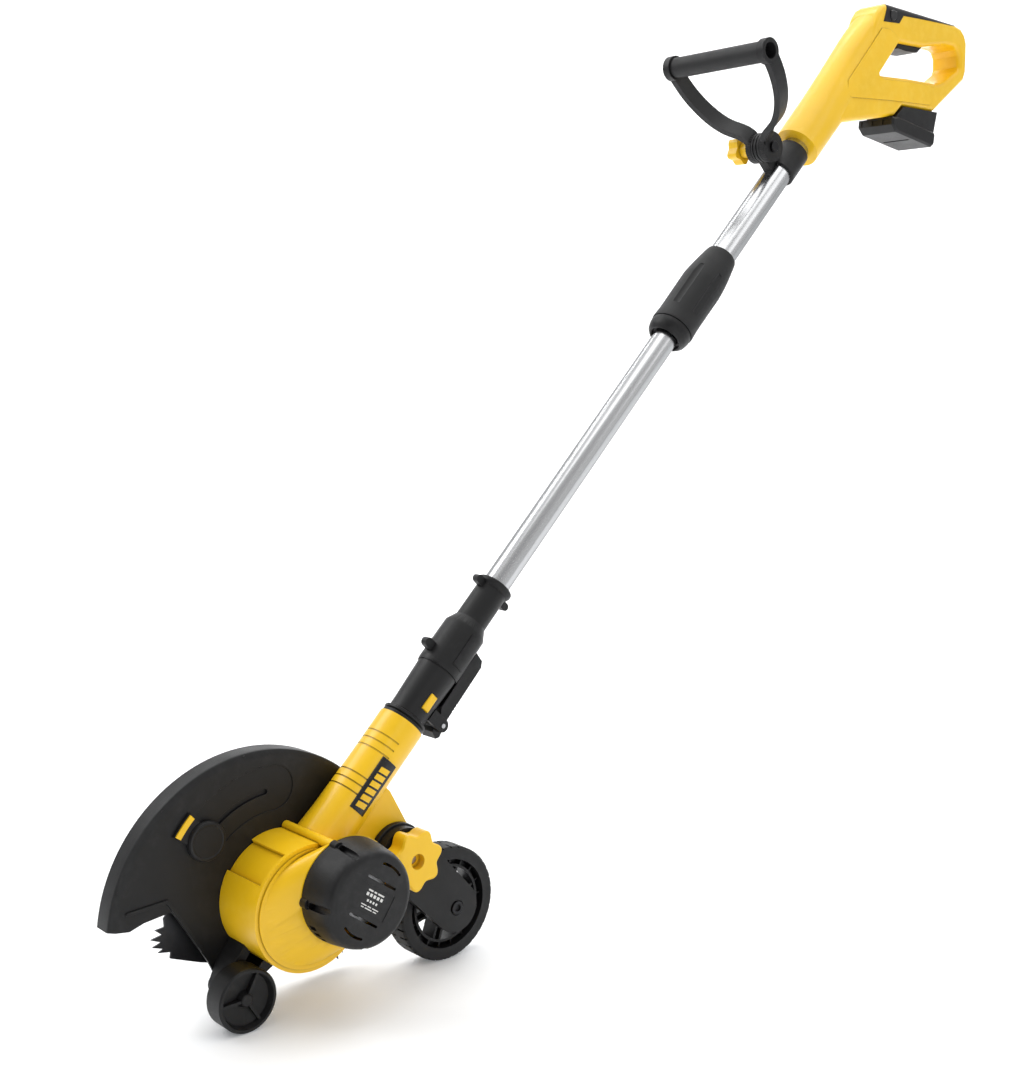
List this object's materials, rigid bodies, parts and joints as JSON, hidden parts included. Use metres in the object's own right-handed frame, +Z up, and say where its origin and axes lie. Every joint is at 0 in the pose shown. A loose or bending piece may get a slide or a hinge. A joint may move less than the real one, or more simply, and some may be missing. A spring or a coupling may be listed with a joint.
{
  "type": "lawn edger",
  "caption": "Battery-powered walk-behind lawn edger with guarded vertical blade, telescopic pole, adjustable D-handle, depth wheel and slide-on battery",
  "frame": {"origin": "centre of the footprint on the ground, under the middle of the whole edger as it stands on its roller and wheel", "axes": "+Z up; +Y back along the ground towards the user; +X along the blade spindle from the blade to the motor cover"},
  "size_m": [0.1516, 1.0775, 0.9177],
  "materials": {
    "yellow_plastic": "moulded ABS, fine satin texture",
    "black_plastic": "glass-filled nylon, fine matte texture",
    "grip_black": "soft overmould, matte",
    "pack_black": "moulded, fine texture",
    "button_black": "smooth",
    "switch_black": "moulded",
    "label_black": "blank printed plate",
    "tube_aluminium": "drawn and clear anodised",
    "blade_steel": "blackened spring steel with ground teeth",
    "gear_steel": "machined, greased",
    "motor_steel": "zinc-plated can",
    "bearing_steel": "ground",
    "zinc_steel": "zinc plated",
    "dark_steel": "black phosphated",
    "cell_steel": "nickel-plated cans",
    "contact_brass": "stamped contacts in their carrier",
    "board_green": "glass-epoxy board",
    "lead_rubber": "coiled two-core lead",
    "white_nylon": "natural nylon",
    "tyre_black": "moulded block tread"
  },
  "bodies": {
    "head": {"gear_housing": "yellow_plastic", "gear_cover": "black_plastic", "case_screws": "dark_steel", "motor_can": "motor_steel", "motor_cover": "black_plastic", "motor_cover_screws": "dark_steel", "label_plate": "label_black", "spindle_bearings": "bearing_steel", "swivel_collar": "black_plastic", "blade_guard": "black_plastic", "roller_axle": "zinc_steel", "roller_bracket": "black_plastic", "wheel_collar": "black_plastic", "depth_bolt": "zinc_steel"},
    "motor_rotor": {"rotor_shaft": "motor_steel", "pinion": "gear_steel"},
    "blade_spindle": {"spindle": "gear_steel", "spur_gear": "gear_steel", "blade": "blade_steel", "blade_flanges": "zinc_steel", "blade_nut": "zinc_steel"},
    "edge_guide": {"guide_slider": "black_plastic", "guide_marker": "yellow_plastic"},
    "roller": {"front_roller": "black_plastic"},
    "depth_arm": {"wheel_arm": "black_plastic", "wheel_axle": "dark_steel"},
    "rear_wheel": {"wheel_rim": "black_plastic", "wheel_tread": "tyre_black"},
    "depth_knob": {"star_knob": "yellow_plastic"},
    "lower_pole": {"coupler_lower": "black_plastic", "coupler_upper": "black_plastic", "latch_pin": "zinc_steel", "lower_tube": "tube_aluminium", "tube_plug": "white_nylon"},
    "pole_latch": {"latch_lever": "black_plastic"},
    "swivel_release": {"release_button": "yellow_plastic"},
    "upper_pole": {"upper_tube": "tube_aluminium", "tube_collet": "black_plastic", "sleeve_nut": "black_plastic", "coiled_lead": "lead_rubber", "aux_clamp": "black_plastic", "aux_bolt": "dark_steel", "handle_shell_left": "yellow_plastic", "handle_shell_right": "yellow_plastic", "handle_screws": "dark_steel", "grip_pad": "grip_black", "trigger_switch": "switch_black", "battery_rail": "black_plastic", "contact_block": "contact_brass", "control_board": "board_green"},
    "length_sleeve": {"twist_sleeve": "grip_black"},
    "d_handle": {"aux_arm_left": "black_plastic", "aux_arm_right": "black_plastic", "aux_grip": "grip_black"},
    "d_handle_knob": {"aux_knob": "yellow_plastic"},
    "power_trigger": {"trigger": "black_plastic"},
    "lock_off_button": {"lock_button": "button_black"},
    "battery": {"battery_case": "pack_black", "battery_cells": "cell_steel"},
    "battery_release": {"battery_latch": "button_black"}
  },
  "joints": [
    {"name": "blade_spin", "type": "hinge", "parent": "head", "child": "blade_spindle", "pos_m": [0.01705, -0.38616, 0.0915], "axis": [1, 0, 0], "continuous": true},
    {"name": "motor_spin", "type": "hinge", "parent": "head", "child": "motor_rotor", "pos_m": [0.01705, -0.36148, 0.10575], "axis": [1, 0, 0], "continuous": true},
    {"name": "guide_swing", "type": "hinge", "parent": "head", "child": "edge_guide", "pos_m": [0.01705, -0.38616, 0.0915], "axis": [1, 0, 0], "range_deg": [-40, 0]},
    {"name": "roller_spin", "type": "hinge", "parent": "head", "child": "roller", "pos_m": [0.01705, -0.44366, 0.0266], "axis": [1, 0, 0], "continuous": true},
    {"name": "depth_swing", "type": "hinge", "parent": "head", "child": "depth_arm", "pos_m": [0.01705, -0.28766, 0.112], "axis": [1, 0, 0], "range_deg": [-12, 36]},
    {"name": "rear_wheel_spin", "type": "hinge", "parent": "depth_arm", "child": "rear_wheel", "pos_m": [0.01705, -0.23026, 0.0517], "axis": [1, 0, 0], "continuous": true},
    {"name": "depth_knob_turn", "type": "hinge", "parent": "head", "child": "depth_knob", "pos_m": [0.01705, -0.28766, 0.112], "axis": [1, 0, 0], "range_deg": [0, 360]},
    {"name": "head_swivel", "type": "hinge", "parent": "head", "child": "lower_pole", "pos_m": [-0.01025, -0.26505, 0.22363], "axis": [0, 0.7004, 0.7137], "range_deg": [0, 90]},
    {"name": "pole_latch_swing", "type": "hinge", "parent": "lower_pole", "child": "pole_latch", "pos_m": [-0.01025, -0.23209, 0.2144], "axis": [1, 0, 0], "range_deg": [-35, 0]},
    {"name": "swivel_release_press", "type": "slide", "parent": "lower_pole", "child": "swivel_release", "axis": [-1, 0, 0], "range_m": [0, 0.0014], "stiffness_N_per_m": 600},
    {"name": "length_slide", "type": "slide", "parent": "lower_pole", "child": "upper_pole", "axis": [0, 0.7004, 0.7137], "range_m": [-0.17, 0.09]},
    {"name": "length_sleeve_turn", "type": "hinge", "parent": "upper_pole", "child": "length_sleeve", "pos_m": [-0.01025, 0.10266, 0.59835], "axis": [0, 0.7004, 0.7137], "range_deg": [0, 90]},
    {"name": "d_handle_tilt", "type": "hinge", "parent": "upper_pole", "child": "d_handle", "pos_m": [-0.01025, 0.20517, 0.75135], "axis": [1, 0, 0], "range_deg": [-60, 60]},
    {"name": "d_handle_knob_turn", "type": "hinge", "parent": "upper_pole", "child": "d_handle_knob", "pos_m": [-0.01025, 0.20517, 0.75135], "axis": [1, 0, 0], "range_deg": [-360, 0]},
    {"name": "trigger_pull", "type": "hinge", "parent": "upper_pole", "child": "power_trigger", "pos_m": [-0.01025, 0.41384, 0.8925], "axis": [1, 0, 0], "range_deg": [0, 6], "stiffness_Nm_per_rad": 1.2, "springref_deg": -2.86},
    {"name": "lock_off_press", "type": "slide", "parent": "upper_pole", "child": "lock_off_button", "axis": [-1, 0, 0], "range_m": [0, 0.0025], "stiffness_N_per_m": 500},
    {"name": "battery_slide", "type": "slide", "parent": "upper_pole", "child": "battery", "axis": [0, 0.988, -0.1547], "range_m": [0, 0.08]},
    {"name": "battery_release_press", "type": "slide", "parent": "battery", "child": "battery_release", "axis": [0, -0.988, 0.1547], "range_m": [0, 0.0016], "stiffness_N_per_m": 600}
  ],
  "couplings": [
    {"joint": "motor_spin", "follows": "blade_spin", "ratio": -3.75}
  ]
}
